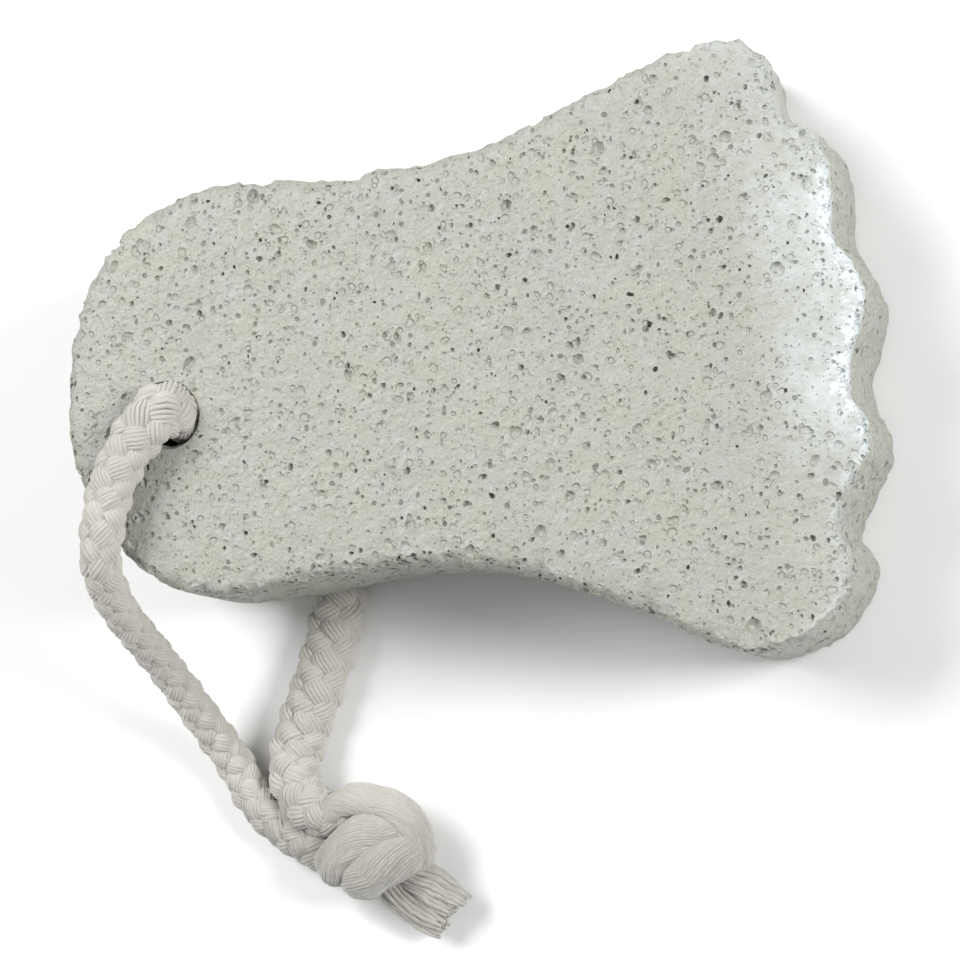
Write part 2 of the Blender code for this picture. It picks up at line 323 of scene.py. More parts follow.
def carried_facing(line, first):
    """The direction that a flat side faces, carried along the line without twisting."""
    tangents = np.gradient(line, axis=0)
    tangents /= np.linalg.norm(tangents, axis=1)[:, None]
    facing = [np.array(first, float)]
    for tangent in tangents:
        across = facing[-1] - tangent * (facing[-1] @ tangent)
        facing.append(across / np.linalg.norm(across))
    return np.array(facing[1:]), tangents


def turned(facing, tangents, degrees):
    """Turns each facing direction about the line by its own angle."""
    angle = np.radians(degrees)[:, None]
    return facing * np.cos(angle) + np.cross(tangents, facing) * np.sin(angle)


def guide_mesh(name, line, facing, girth):
    """A line of edges that carries the way its flat side faces and its girth."""
    mesh = bpy.data.meshes.new(name)
    mesh.from_pydata([tuple(p) for p in line], [(i, i + 1) for i in range(len(line) - 1)], [])
    mesh.attributes.new("facing", "FLOAT_VECTOR", "POINT").data.foreach_set("vector", facing.ravel())
    mesh.attributes.new("girth", "FLOAT", "POINT").data.foreach_set("value", girth)
    return mesh


def sampled(recipe, curve, along, name=None):
    """What the guide has at a length along it: a named value, or its own frame."""
    settings = {"mode": "LENGTH", "data_type": "FLOAT_VECTOR" if name == "facing" else "FLOAT"}
    inputs = {"Curves": curve, "Length": along}
    if name:
        inputs["Value"] = recipe.kept(name, settings["data_type"])
    return recipe.node("GeometryNodeSampleCurve", settings, inputs)


def set_about(recipe, there, wide, deep):
    """A place so far to the side of the guide and so far out on its flat side."""
    across = recipe.vector("CROSS_PRODUCT", there.out("Tangent"), there)
    aside = recipe.vector("ADD", recipe.scaled(across, wide), recipe.scaled(there, deep))
    return recipe.vector("ADD", aside, there.out("Position"))


def even_line(recipe, count):
    """A straight line of so many points, to be bent to its place."""
    line = recipe.node("GeometryNodeCurvePrimitiveLine")
    inputs = {"Curve": line, "Count": count}
    return recipe.node("GeometryNodeResampleCurve", {"mode": "COUNT"}, inputs)


def numbered_lines(recipe, count, amount):
    """As many such lines as there are yarns, each with its number."""
    copies = {"Geometry": even_line(recipe, count), "Amount": amount}
    lines = recipe.node("GeometryNodeDuplicateElements", {"domain": "SPLINE"}, copies)
    return recipe.keep(lines, "number", lines.out("Duplicate Index"), "CURVE")


def ring_swept(recipe, line, sides, radius=1.0):
    """A closed tube along a line, which keeps each point's turn on its ring."""
    inputs = {"Resolution": sides, "Radius": 1.0}
    ring = recipe.node("GeometryNodeCurvePrimitiveCircle", None, inputs)
    place = recipe.node("GeometryNodeInputPosition")
    ring = recipe.keep(ring, "turn", place, data_type="FLOAT_VECTOR")
    sweep = {"Curve": line, "Profile Curve": ring, "Scale": radius, "Fill Caps": True}
    return recipe.node("GeometryNodeCurveToMesh", None, sweep)


def yarn_tube(recipe, line, radius, number):
    """Makes yarns of their middle lines. Keeps the length along each, and a shade."""
    along = recipe.node("GeometryNodeSplineParameter").out("Length")
    line = recipe.keep(line, "along", along)
    inputs = {"ID": number, "Seed": 4}
    shade = recipe.node("FunctionNodeRandomValue", {"data_type": "FLOAT"}, inputs)
    line = recipe.keep(line, "shade", shade, "CURVE")
    return ring_swept(recipe, line, YARN_SIDES, radius)


def pressed_flat(recipe, place, radius):
    """Keeps a yarn above the floor that the rope lies on."""
    parts = recipe.node("ShaderNodeSeparateXYZ", None, {0: place})
    height = recipe.sum("MAXIMUM", parts.out("Z"), radius + FLOOR_GAP)
    return recipe.node("ShaderNodeCombineXYZ", None, {0: parts, 1: parts.out("Y"), 2: height})


def braid_core(recipe, guide, length):
    """The soft filling under the strands: one closed oval tube along the guide."""
    line = even_line(recipe, length / recipe.input("Core Depth"))
    share = recipe.node("GeometryNodeSplineParameter")
    tube = ring_swept(recipe, recipe.keep(line, "share", share), CORE_SIDES)
    along = recipe.kept("share") * length
    there = sampled(recipe, guide, along, "facing")
    girth = sampled(recipe, guide, along, "girth")
    turn = recipe.node("ShaderNodeSeparateXYZ", None, {0: recipe.kept("turn", "FLOAT_VECTOR")})
    wide = girth * turn * recipe.input("Core Width")
    deep = girth * turn.out("Y") * recipe.input("Core Depth")
    place = set_about(recipe, there, wide, deep)
    return recipe.node("GeometryNodeSetPosition", None, {"Geometry": tube, "Position": place})


def braid_recipe():
    """Eight strands, four each way round, each over one and under the next."""
    recipe = MeshRecipe("braid", BRAID)
    lay = recipe.input("Lay Length")
    half_width = recipe.input("Half Width")
    half_depth = recipe.input("Half Depth")
    yarns = recipe.input("Yarns")
    guide = recipe.node("GeometryNodeMeshToCurve", None, {"Mesh": recipe.input("Geometry")})
    length = recipe.node("GeometryNodeCurveLength", None, {"Curve": guide})

    radius = (half_width + half_depth) / 2 + recipe.input("Strand Crown")
    lean = radius * math.tau / lay
    slope = recipe.sum("SQRT", 1 + lean * lean)
    line = numbered_lines(recipe, length * slope / recipe.input("Step"), yarns * STRANDS)

    number = recipe.kept("number")
    strand = recipe.sum("FLOOR", (number + 0.5) / yarns)
    family = recipe.sum("FLOOR", (strand + 0.5) / (STRANDS / 2))
    way = 1 - 2 * family
    yarn_place = number - yarns * strand - (yarns - 1) / 2
    start_angle = strand * (math.tau / (STRANDS / 2)) + FRONT_OF_THE_WEAVE

    along = recipe.node("GeometryNodeSplineParameter") * length
    angle = start_angle + way * (along / lay * math.tau)
    over = way * recipe.sum("COSINE", (angle - FRONT_OF_THE_WEAVE) * (STRANDS / 2))
    pinch = 1 + recipe.input("Strand Pinch") * over
    aside = yarn_place * recipe.input("Yarn Spacing") * pinch
    angle = angle - way * aside / slope / radius
    slid = along + aside * lean / slope
    edge = yarn_place / (yarns / 2)
    spot = {0: strand * UNEVEN_BY_STRAND, 1: along * UNEVEN_PER_METRE, 2: number * UNEVEN_BY_YARN}
    spot = recipe.node("ShaderNodeCombineXYZ", None, spot)
    uneven = recipe.node("ShaderNodeTexNoise", None, {"Vector": spot, "Scale": 1.0})
    lift = over * recipe.input("Weave Height")
    lift = lift + recipe.input("Strand Crown") * (1 - edge * edge)
    lift = lift + recipe.input("Unevenness") * (uneven * 2 - 1)

    there = sampled(recipe, guide, slid, "facing")
    girth = sampled(recipe, guide, slid, "girth")
    wide = girth * (half_width + lift) * recipe.sum("COSINE", angle)
    deep = girth * (half_depth + lift) * recipe.sum("SINE", angle)
    place = set_about(recipe, there, wide, deep)
    place = pressed_flat(recipe, place, recipe.input("Yarn Radius"))
    line = recipe.node("GeometryNodeSetPosition", None, {"Geometry": line, "Position": place})
    twisted = yarn_tube(recipe, line, recipe.input("Yarn Radius"), number)
    core = braid_core(recipe, guide, length)
    recipe.end(recipe.node("GeometryNodeJoinGeometry", None, {0: [twisted, core]}))
    return recipe


COTTON = (0.505, 0.484, 0.438, 1.0)
COTTON_PINKISH = (0.522, 0.480, 0.444, 1.0)
COTTON_GREY = (0.460, 0.446, 0.402, 1.0)
# A darker cotton, for the knot and the cut ends.
COTTON_AT_THE_KNOT = (0.335, 0.325, 0.292, 1.0)
COTTON_FIBRES = (0.640, 0.622, 0.578, 1.0)
DARKER_FROM_Y_MM = -50.0
DARKEST_AT_Y_MM = -57.0
STREAKS_PER_METRE = 700.0
STREAKS_BY_SHADE = 60.0
PLIES = 2
PLY_TWIST_PER_METRE = 4200.0
FIBRE_RELIEF_MM = 0.08


def cotton_finish():
    """Undyed cotton: matt, warm grey-white, with pale fibres and the twist of each yarn."""
    material = bpy.data.materials.new("undyed_cotton")
    material.use_nodes = True
    material.node_tree.nodes.clear()
    paint = Recipe(material.node_tree)
    place = paint.node("ShaderNodeTexCoord").out("Object")
    shade = paint.node("ShaderNodeAttribute", {"attribute_name": "shade"}).out("Fac")
    along = paint.node("ShaderNodeAttribute", {"attribute_name": "along"}).out("Fac")
    turn = paint.node("ShaderNodeAttribute", {"attribute_name": "turn"}).out("Vector")
    turn = paint.node("ShaderNodeSeparateXYZ", None, {0: turn})
    around = paint.sum("ARCTAN2", turn.out("Y"), turn)

    soil = paint.node("ShaderNodeTexNoise", None, {"Vector": place, "Scale": 120.0, "Detail": 2.0})
    colour = paint.blend(paint.mapped(soil, 0.40, 0.65), COTTON, COTTON_GREY)
    colour = paint.blend(paint.mapped(shade, 0.55, 1.0, 0.0, 0.7), colour, COTTON_PINKISH)
    parts = paint.node("ShaderNodeSeparateXYZ", None, {0: place})
    # The cotton turns darker towards the knot and the cut ends, from y = -50 mm to y = -57 mm.
    darker_at_knot = paint.mapped(parts.out("Y"), DARKER_FROM_Y_MM * MM, DARKEST_AT_Y_MM * MM, 0.0, 0.8)
    colour = paint.blend(darker_at_knot, colour, COTTON_AT_THE_KNOT)

    streaks = {0: along * STREAKS_PER_METRE, 1: around * PLIES, 2: shade * STREAKS_BY_SHADE}
    streaks = paint.node("ShaderNodeCombineXYZ", None, streaks)
    streaks = paint.node("ShaderNodeTexNoise", None, {"Vector": streaks, "Scale": 1.0, "Detail": 1.0})
    colour = paint.blend(paint.mapped(streaks, 0.52, 0.74, 0.0, 0.55), colour, COTTON_FIBRES)

    plies = paint.sum("SINE", around * PLIES + along * PLY_TWIST_PER_METRE)
    fibres = {"Vector": place, "Scale": 5200.0, "Detail": 2.0, "Roughness": 0.65}
    fibres = paint.node("ShaderNodeTexNoise", None, fibres)
    height = plies * 0.25 + fibres
    bump = {"Height": height, "Strength": 0.4, "Distance": FIBRE_RELIEF_MM * MM}
    surface = {
        "Base Color": colour,
        "Roughness": 0.95,
        "Specular IOR Level": 0.2,
        "Sheen Weight": 0.5,
        "Sheen Roughness": 0.6,
        "Normal": paint.node("ShaderNodeBump", None, bump),
    }
    shader = paint.node("ShaderNodeBsdfPrincipled", None, surface)
    paint.node("ShaderNodeOutputMaterial", None, {"Surface": shader})
    return material


cotton = cotton_finish()
braid = braid_recipe()

route = smooth_line(np.array(ROUTE_MM) * MM, ROUTE_STEPS)
route_place = np.arange(len(route)) / ROUTE_STEPS
facing, tangents = carried_facing(route, ROPE_FACING_IN_THE_HOLE)
facing = turned(facing, tangents, np.interp(route_place, *zip(*ROPE_TURN)))
girth = np.interp(route_place, *zip(*ROPE_GIRTH))
guide = guide_mesh("rope_guide", route, facing, girth)
rope = braid.grow("rope_braid", guide, BRAID, cotton)
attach(rope, "root")
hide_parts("rope")


# ---------------------------------------------------------------- knot
# The rope's two ends are tied together in one tight lump, 14 mm across.
# It is the same braid, pulled so tight round itself that its strands lie
# nearly straight, in bands that cross over the front of the lump.

KNOT_START_MM = (-19.5, -56.0)
KNOT_AXIS = (0.912, -0.410)
KNOT_HEART_MM = (5.4, 0.0, 5.2)
KNOT_WINDING_MM = [
    (-2.5, 0.5, 4.8), (-1.2, 2.4, 5.8), (1.0, 3.9, 6.8), (4.2, 4.6, 7.4), (7.1, 4.1, 7.4),
    (9.2, 2.3, 6.8), (9.9, 0.2, 5.2), (9.0, -1.8, 3.2), (5.4, -2.8, 2.5), (2.4, -4.0, 3.0),
    (0.6, -5.2, 4.6), (0.8, -4.6, 7.2), (1.8, -2.0, 8.2), (3.5, 0.7, 8.5), (5.7, 2.3, 7.8),
    (7.4, 3.0, 6.0), (7.8, 2.8, 3.6), (6.4, 1.0, 2.4), (4.8, -1.8, 2.4), (3.9, -4.3, 2.8),
    (4.0, -5.5, 4.6), (4.8, -5.1, 6.8), (6.1, -3.4, 8.3), (7.6, -1.2, 8.4), (9.0, 0.5, 7.6),
    (9.4, 1.2, 5.4), (8.4, 0.8, 4.2),
]
KNOT_STEPS = 6
KNOT_GIRTH = [(0, 1.0), (9, 1.0), (13, 1.1), (18, 0.95), (21, 1.1), (23, 1.2), (26, 0.9)]
KNOT_BRAID = {
    "Lay Length": 44.0 * MM,
    "Half Width": 2.1 * MM,
    "Half Depth": 1.6 * MM,
    "Weave Height": 0.12 * MM,
    "Strand Crown": 0.16 * MM,
    "Strand Pinch": 0.0,
    "Yarns": 11,
    "Yarn Spacing": 0.3 * MM,
    "Yarn Radius": 0.28 * MM,
    "Unevenness": 0.3 * MM,
    "Core Width": 2.2 * MM,
    "Core Depth": 1.5 * MM,
    "Step": 0.75 * MM,
}


def from_knot(points):
    """Points given along, across and above the knot, as places in metres."""
    along = np.array([*KNOT_AXIS, 0.0])
    across = np.array([-KNOT_AXIS[1], KNOT_AXIS[0], 0.0])
    start = np.array([*KNOT_START_MM, 0.0])
    return [(start + t * along + a * across + np.array([0, 0, z])) * MM for t, a, z in points]


def facing_away(line, heart):
    """Flat sides that face away from the middle of the knot."""
    tangents = np.gradient(line, axis=0)
    tangents /= np.linalg.norm(tangents, axis=1)[:, None]
    away = line - heart
    away -= tangents * (away * tangents).sum(1)[:, None]
    return away / np.linalg.norm(away, axis=1)[:, None]


winding = smooth_line(np.array(from_knot(KNOT_WINDING_MM)), KNOT_STEPS)
heart = from_knot([KNOT_HEART_MM])[0]
winding_girth = np.interp(np.arange(len(winding)) / KNOT_STEPS, *zip(*KNOT_GIRTH))
winding_guide = guide_mesh("knot_guide", winding, facing_away(winding, heart), winding_girth)
knot = braid.grow("knot_wraps", winding_guide, KNOT_BRAID, cotton)
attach(knot, "root")
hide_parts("knot")


# ---------------------------------------------------------------- cut ends
# Past the knot the braid has come undone. Two short tails of loose yarns
# stick out side by side, cut off with scissors.

FAR_TAIL_MM = [
    (-13.2, -59.6, 5.2),
    (-11.0, -61.6, 5.0),
    (-9.2, -63.0, 4.4),
    (-7.6, -64.8, 3.7),
    (-6.2, -66.4, 3.1),
]
NEAR_TAIL_MM = [
    (-15.4, -61.0, 4.8),
    (-14.2, -63.1, 4.2),
    (-12.5, -65.0, 3.4),
    (-10.2, -66.3, 2.9),
    (-7.4, -67.3, 2.8),
]
TAIL_STEPS = 4
TAIL_FACING = (0.0, 0.0, 1.0)
FAR_TAIL_TWIST = -1.6
NEAR_TAIL_TWIST = 0.3
TAIL = {
    "Yarns": 76,
    "Half Width": 2.3 * MM,
    "Half Depth": 1.8 * MM,
    "Yarn Radius": 0.33 * MM,
    "Spread": 0.22,
    "Twist": NEAR_TAIL_TWIST,
    "Wander": 0.8 * MM,
    "Uneven Cut": 0.08,
    "Step": 0.5 * MM,
}
GOLDEN_ANGLE = math.radians(137.5)
WANDER_BY_YARN = 5.3
WANDER_PER_METRE = 400.0
TIP_FROM = 0.93
TIP_GIRTH = 0.55


def tail_recipe():
    """Loose yarns side by side, filling an oval that opens towards the cut."""
    recipe = MeshRecipe("tail", TAIL)
    guide = recipe.node("GeometryNodeMeshToCurve", None, {"Mesh": recipe.input("Geometry")})
    length = recipe.node("GeometryNodeCurveLength", None, {"Curve": guide})
    yarns = recipe.input("Yarns")
    line = numbered_lines(recipe, length / recipe.input("Step"), yarns)
    number = recipe.kept("number")
    draw = recipe.node("FunctionNodeRandomValue", {"data_type": "FLOAT"}, {"ID": number, "Seed": 8})
    share = recipe.node("GeometryNodeSplineParameter")
    along = share * length * (1 - recipe.input("Uneven Cut") * draw)
    out = recipe.sum("SQRT", (number + 0.5) / yarns) * (1 + recipe.input("Spread") * (share - 0.5))
    angle = number * GOLDEN_ANGLE - share * recipe.input("Twist")
    there = sampled(recipe, guide, along, "facing")
    wide = out * recipe.input("Half Width") * recipe.sum("COSINE", angle)
    deep = out * recipe.input("Half Depth") * recipe.sum("SINE", angle)
    spot = {0: number * WANDER_BY_YARN, 1: along * WANDER_PER_METRE}
    spot = recipe.node("ShaderNodeCombineXYZ", None, spot)
    wander = recipe.node("ShaderNodeTexNoise", None, {"Vector": spot, "Scale": 1.0}).out("Color")
    wander = recipe.vector("SUBTRACT", wander, (0.5, 0.5, 0.5))
    wander = recipe.scaled(wander, recipe.input("Wander"))
    place = recipe.vector("ADD", set_about(recipe, there, wide, deep), wander)
    place = pressed_flat(recipe, place, recipe.input("Yarn Radius"))
    line = recipe.node("GeometryNodeSetPosition", None, {"Geometry": line, "Position": place})
    tip = recipe.mapped(share, TIP_FROM, 1.0, 1.0, TIP_GIRTH)
    recipe.end(yarn_tube(recipe, line, recipe.input("Yarn Radius") * tip, number))
    return recipe


tails = tail_recipe()
tail_lines = (
    ("cut_end_far", FAR_TAIL_MM, FAR_TAIL_TWIST),
    ("cut_end_near", NEAR_TAIL_MM, NEAR_TAIL_TWIST),
)
for name, points, twist in tail_lines:
    line = smooth_line(np.array(points) * MM, TAIL_STEPS)
    facing, tangents = carried_facing(line, TAIL_FACING)
    tail_guide = guide_mesh(name + "_guide", line, facing, np.ones(len(line)))
    cut_end = tails.grow(name, tail_guide, {**TAIL, "Twist": twist}, cotton)
    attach(cut_end, "root")


# ---------------------------------------------------------------- stone
# One sawn and ground block of pumice, 97 mm long and 22 mm thick, cut to
# the outline of a foot. It is full of gas bubbles, which its faces cut
# open, and a rope hole is drilled through the heel.

STONE_TILT = math.radians(4.6)
STONE_PLACE_MM = (0.493, 0.627, 3.701)
THICKNESS_MM = 22.0
HEEL_INNER_MM = [
    (-49.7, -6.0), (-49.1, 3.0), (-46.5, 9.9), (-41.9, 15.5), (-37.0, 18.3), (-31.3, 20.2),
]
INNER_SIDE_MM = [
    (-23.2, 20.6), (-15.0, 20.6), (-10.2, 21.6), (-4.9, 22.0), (2.6, 24.2), (11.6, 28.3),
    (16.0, 30.2), (21.3, 32.9),
]
BIG_TOE_MM = [
    (25.5, 34.2), (29.5, 35.1), (32.4, 34.9), (34.4, 33.2), (35.6, 31.6), (36.1, 28.4), (37.6, 25.6),
]
SECOND_TOE_MM = [(41.3, 23.7), (42.9, 20.2), (43.4, 16.0), (43.4, 12.3)]
THIRD_TOE_MM = [(45.6, 8.7), (47.2, 4.7), (46.6, 0.4), (45.4, -3.8)]
FOURTH_TOE_MM = [(45.9, -7.1), (47.5, -10.2), (47.5, -13.8), (45.6, -17.6), (43.9, -22.1)]
LITTLE_TOE_MM = [
    (45.2, -24.3), (45.9, -27.0), (44.6, -30.4), (41.9, -34.0), (37.8, -36.0), (33.3, -36.8),
    (26.9, -34.9),
]
OUTER_SIDE_MM = [
    (21.1, -32.1), (14.6, -30.0), (8.4, -27.9), (0.5, -26.4), (-9.3, -26.5), (-16.8, -27.6),
    (-24.2, -29.0),
]
HEEL_OUTER_MM = [(-32.5, -29.6), (-38.8, -27.3), (-43.2, -23.7), (-46.4, -18.8), (-49.1, -13.0)]
TOES_MM = BIG_TOE_MM + SECOND_TOE_MM + THIRD_TOE_MM + FOURTH_TOE_MM + LITTLE_TOE_MM
OUTLINE_MM = HEEL_INNER_MM + INNER_SIDE_MM + TOES_MM + OUTER_SIDE_MM + HEEL_OUTER_MM

EDGE_SECTION_MM = [
    (0.9, 0.0), (0.3, 0.5), (0.05, 1.8), (0.0, 4.4), (0.05, 7.0), (0.1, 9.6), (0.15, 12.2),
    (0.2, 14.8), (0.25, 17.4), (0.3, 19.4), (0.4, 20.6), (0.7, 21.4), (1.3, 21.85),
]
OUTLINE_STEPS = 12
WALL_STEP_MM = 0.9
FACE_GRID_MM = 2.4
FACE_GRID_JITTER_MM = 0.4
FACE_GRID_GAP_MM = 0.7 * FACE_GRID_MM
FACE_GRID_SEED = 5
INSIDE_THE_RING = 1
TRIANGLE_TOLERANCE = 1e-5
TOP_FALL_MM = 0.3
TOP_FALL_WIDTH_MM = 9.0
TOP_RISE_MM = 0.1
TOE_FALL_MM = 0.7
TOE_FALL_FROM_MM = 26.0
TOE_FALL_WIDTH_MM = 14.0
WALL_WEAR_MM = 0.60
COARSE_WEAR_WIDTH_MM = 3.2
COARSE_WEAR_SEED = 0
FINE_WEAR_WIDTH_MM = 1.3
FINE_WEAR_SEED = 9
RIM_WEAR_MM = 0.60
RIM_WEAR_FROM_MM = 18.5
FACE_WEAR_MM = 0.10
FACE_WEAR_WIDTH_MM = 6.0
FACE_WEAR_SEED = 3

# The wall leans in at the corner of the big toe.
UNDERCUT_MM = 1.7
UNDERCUT_PLACE_MM = (36.2, 29.5)
UNDERCUT_REACH_MM = 4.5

# How many bubbles are open on each side of the block, against the top.
FACE_NORMAL = 0.8
TOES_NORMAL_X = 0.5
OUTER_SIDE_NORMAL_Y = -0.2
RIM_HEIGHT = 19.0 * MM
RIM_SHARE = 2.2
NEAR_WALL_SHARE = 0.95
FAR_WALL_SHARE = 0.22
UNDERSIDE_SHARE = 0.08

HOLE_PLACE_MM = (-36.3, -7.8)
HOLE_OVERSHOOT_MM = 1.5
HOLE_SIDES = 40
HOLE_RINGS = 26
MOUTH_FROM = 0.72
MOUTH_FULL_AT = 0.93
MOUTH_CURVE = 2.0
HOLE_GRAIN_PER_METRE = 420.0
SHARP_BEND = math.radians(50.0)

# A bubble's middle lies between two heights over the face, in its own radii:
# all kinds share the highest one, and each kind has its lowest one.
HIGHEST_BUBBLE = 0.85
BUBBLE_SPREAD = 0.28
BUBBLE_LUMPS = 1.1
BUBBLE_LUMP_SCALE = 0.9
LEAST_STRETCH = (0.70, 0.70, 0.70)
MOST_STRETCH = (1.35, 1.35, 1.35)
UNTURNED = (0.0, 0.0, 0.0)
FULL_TURNS = (6.28, 6.28, 6.28)

# Each kind's name, how finely its ball is divided, and its seeds.
BUBBLE_KINDS = (
    ("Large", 2, (11, 17, 19)),
    ("Middle", 1, (23, 29, 31)),
    ("Small", 1, (37, 41)),
)
PUMICE = {
    "Hole Radius": 3.6 * MM,
    "Hole Wear": 0.85 * MM,
    "Hole Roughness": 0.7 * MM,
    "Large Size": 0.66 * MM,
    "Large Lowest": 0.22,
    "Large Density": 72000.0,
    "Middle Size": 0.38 * MM,
    "Middle Lowest": -0.60,
    "Middle Density": 230000.0,
    "Small Size": 0.23 * MM,
    "Small Lowest": -0.50,
    "Small Density": 180000.0,
}


def even_outline(points, step):
    """The closed outline as a smooth curve, in even steps of about this length."""
    closed = np.vstack([points[-2:], points, points[:2]])
    line = smooth_line(closed, OUTLINE_STEPS)[2 * OUTLINE_STEPS:-OUTLINE_STEPS]
    along = length_along(line)
    count = int(along[-1] / step)
    places = np.arange(count) * along[-1] / count
    return np.stack([np.interp(places, along, line[:, k]) for k in range(2)], 1)


def outward(plan):
    """The direction out of the stone at each point of its outline."""
    along = np.roll(plan, -1, 0) - np.roll(plan, 1, 0)
    normal = np.stack([-along[:, 1], along[:, 0]], 1)
    return normal / np.linalg.norm(normal, axis=1)[:, None]


def worn(point, width, seed):
    """How worn the block is at a point in millimetres, from about -1 to 1."""
    place = Vector((point[0] + seed, point[1] - seed, point[2])) / width
    return noise.noise(place)


def face_net(rim, height):
    """Points and triangles that close a ring flat, with a jittered grid inside it."""
    low, high = rim.min(0), rim.max(0)
    rng = random.Random(FACE_GRID_SEED)
    inner = []
    edges = np.roll(rim, -1, 0) - rim
    row_pitch = FACE_GRID_MM * math.sqrt(0.75)
    for row in range(int((high[1] - low[1]) / row_pitch) + 1):
        for column in range(int((high[0] - low[0]) / FACE_GRID_MM) + 1):
            place = low + np.array([(column + 0.5 * (row % 2)) * FACE_GRID_MM, row * row_pitch])
            jitter = [rng.uniform(-FACE_GRID_JITTER_MM, FACE_GRID_JITTER_MM) for _ in "xy"]
            place = place + np.array(jitter)
            share = np.clip(((place - rim) * edges).sum(1) / (edges ** 2).sum(1), 0, 1)
            gap = np.linalg.norm(rim + edges * share[:, None] - place, axis=1).min()
            if gap > FACE_GRID_GAP_MM:
                inner.append(place)
    spots = [Vector(p) for p in rim] + [Vector(p) for p in inner]
    ring = [(i, (i + 1) % len(rim)) for i in range(len(rim))]
    net = geometry.delaunay_2d_cdt(spots, ring, [], INSIDE_THE_RING, TRIANGLE_TOLERANCE)
    points = [(p[0], p[1], height) for p in spots]
    return points, [tuple(net[3][i][0] for i in face) for face in net[2]]


def worn_wall(plan):
    """Rings of points up the wall, with a rough, broken edge at the top."""
    points = []
    for inset, height in EDGE_SECTION_MM:
        crumbled = max(0.0, (height - RIM_WEAR_FROM_MM) / (THICKNESS_MM - RIM_WEAR_FROM_MM))
        for place, normal in zip(plan, outward(plan)):
            wear = abs(worn((*place, height), COARSE_WEAR_WIDTH_MM, COARSE_WEAR_SEED))
            wear += abs(worn((*place, height), FINE_WEAR_WIDTH_MM, FINE_WEAR_SEED))
            gap = math.hypot(*(place - UNDERCUT_PLACE_MM))
            undercut = UNDERCUT_MM * math.exp(-((gap / UNDERCUT_REACH_MM) ** 2))
            undercut *= 0.5 - height / THICKNESS_MM
            wear *= WALL_WEAR_MM + RIM_WEAR_MM * crumbled
            place = place - normal * (inset + undercut + wear)
            points.append((*place, height))
    return points


def wall_faces(count):
    """The faces between the wall's rings, each of so many points."""
    faces = []
    for ring in range(len(EDGE_SECTION_MM) - 1):
        low, up = ring * count, (ring + 1) * count
        for i in range(count):
            j = (i + 1) % count
            faces.append((low + i, up + i, up + j, low + j))
    return faces


def worn_face(point, plan):
    """A point of the block, moved up or down as its flat faces are worn."""
    x, y, z = point
    rise = FACE_WEAR_MM * worn(point, FACE_WEAR_WIDTH_MM, FACE_WEAR_SEED)
    if z == EDGE_SECTION_MM[-1][1]:
        gap = np.linalg.norm(plan - np.array([x, y]), axis=1).min()
        toes = min(1.0, max(0.0, (x - TOE_FALL_FROM_MM) / TOE_FALL_WIDTH_MM))
        fall = TOP_FALL_MM + TOE_FALL_MM * toes
        rise += TOP_RISE_MM - fall * max(0.0, 1.0 - gap / TOP_FALL_WIDTH_MM) ** 2
    if z == 0.0:
        rise = abs(rise)
    return Vector((x, y, z + rise))


def mark_opened(body):
    """Marks each face's share of bubbles: most along the rim, fewest on the underside."""
    opened = body.faces.layers.float.new("opened")
    for face in body.faces:
        if face.normal.z > FACE_NORMAL:
            face[opened] = 1.0
        elif face.normal.z < -FACE_NORMAL:
            face[opened] = UNDERSIDE_SHARE
        elif face.calc_center_median().z > RIM_HEIGHT:
            face[opened] = RIM_SHARE
        elif face.normal.y < OUTER_SIDE_NORMAL_Y or face.normal.x > TOES_NORMAL_X:
            face[opened] = NEAR_WALL_SHARE
        else:
            face[opened] = FAR_WALL_SHARE


def stone_block():
    """The block before its bubbles, laid down leaning on the rope, and how it lies."""
    plan = even_outline(np.array(OUTLINE_MM), WALL_STEP_MM)
    count = len(plan)
    points = worn_wall(plan)
    faces = wall_faces(count)
    for ring, flip in ((0, True), (len(EDGE_SECTION_MM) - 1, False)):
        start = ring * count
        rim = np.array([p[:2] for p in points[start:start + count]])
        net_points, net_faces = face_net(rim, EDGE_SECTION_MM[ring][1])
        offset = len(points) - count
        points += net_points[count:]
        for face in net_faces:
            face = [start + i if i < count else offset + i for i in face]
            faces.append(face[::-1] if flip else face)
    place = Matrix.Translation(Vector(STONE_PLACE_MM) * MM) @ Matrix.Rotation(STONE_TILT, 4, "Y")
    corners = [place @ (worn_face(point, plan) * MM) for point in points]
    for corner in corners:
        corner.z = max(corner.z, 0.0)
    mesh = bpy.data.meshes.new("stone_block")
    mesh.from_pydata(corners, [], faces)
    body = bmesh.new()
    body.from_mesh(mesh)
    bmesh.ops.recalc_face_normals(body, faces=body.faces)
    bmesh.ops.triangulate(body, faces=body.faces)
    mark_opened(body)
    body.to_mesh(mesh)
    body.free()
    return mesh, place


